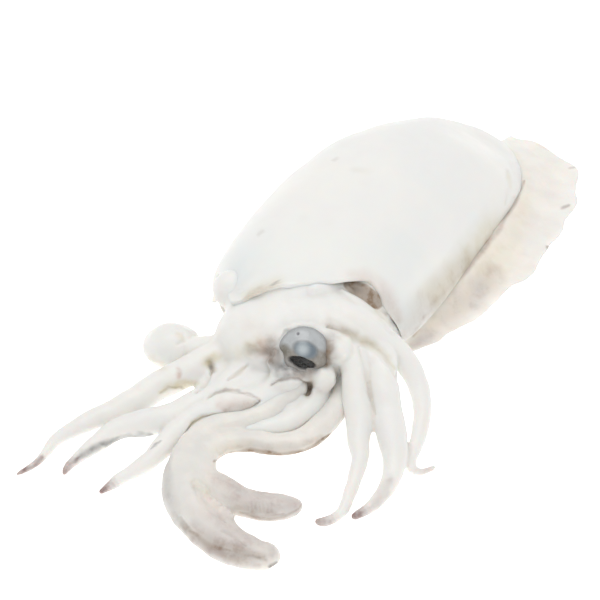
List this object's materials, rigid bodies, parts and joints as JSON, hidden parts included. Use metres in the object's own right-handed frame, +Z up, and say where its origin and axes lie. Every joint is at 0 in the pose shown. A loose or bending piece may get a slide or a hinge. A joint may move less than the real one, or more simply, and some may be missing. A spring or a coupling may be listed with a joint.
{
  "type": "whole raw cuttlefish",
  "caption": "Whole raw skinned cuttlefish lying belly down: oval mantle bag with frilled side fins, domed head with eyes, tapering arms and long club-ended tentacles.",
  "frame": {"origin": "middle of the bounding box, on the surface that the animal lies on", "axes": "+Y from the arms towards the mantle's tail, along the longest extent; +Z up, out of the back; +X to the side that the head is turned towards"},
  "size_m": [0.1664, 0.3344, 0.0426],
  "materials": {
    "flesh": "moist, smooth, slightly translucent raw flesh",
    "eye": "wet, glossy, dark grey-blue"
  },
  "bodies": {
    "root": {"body": "flesh", "upper_eye": "eye", "lower_eye": "eye"}
  },
  "joints": []
}
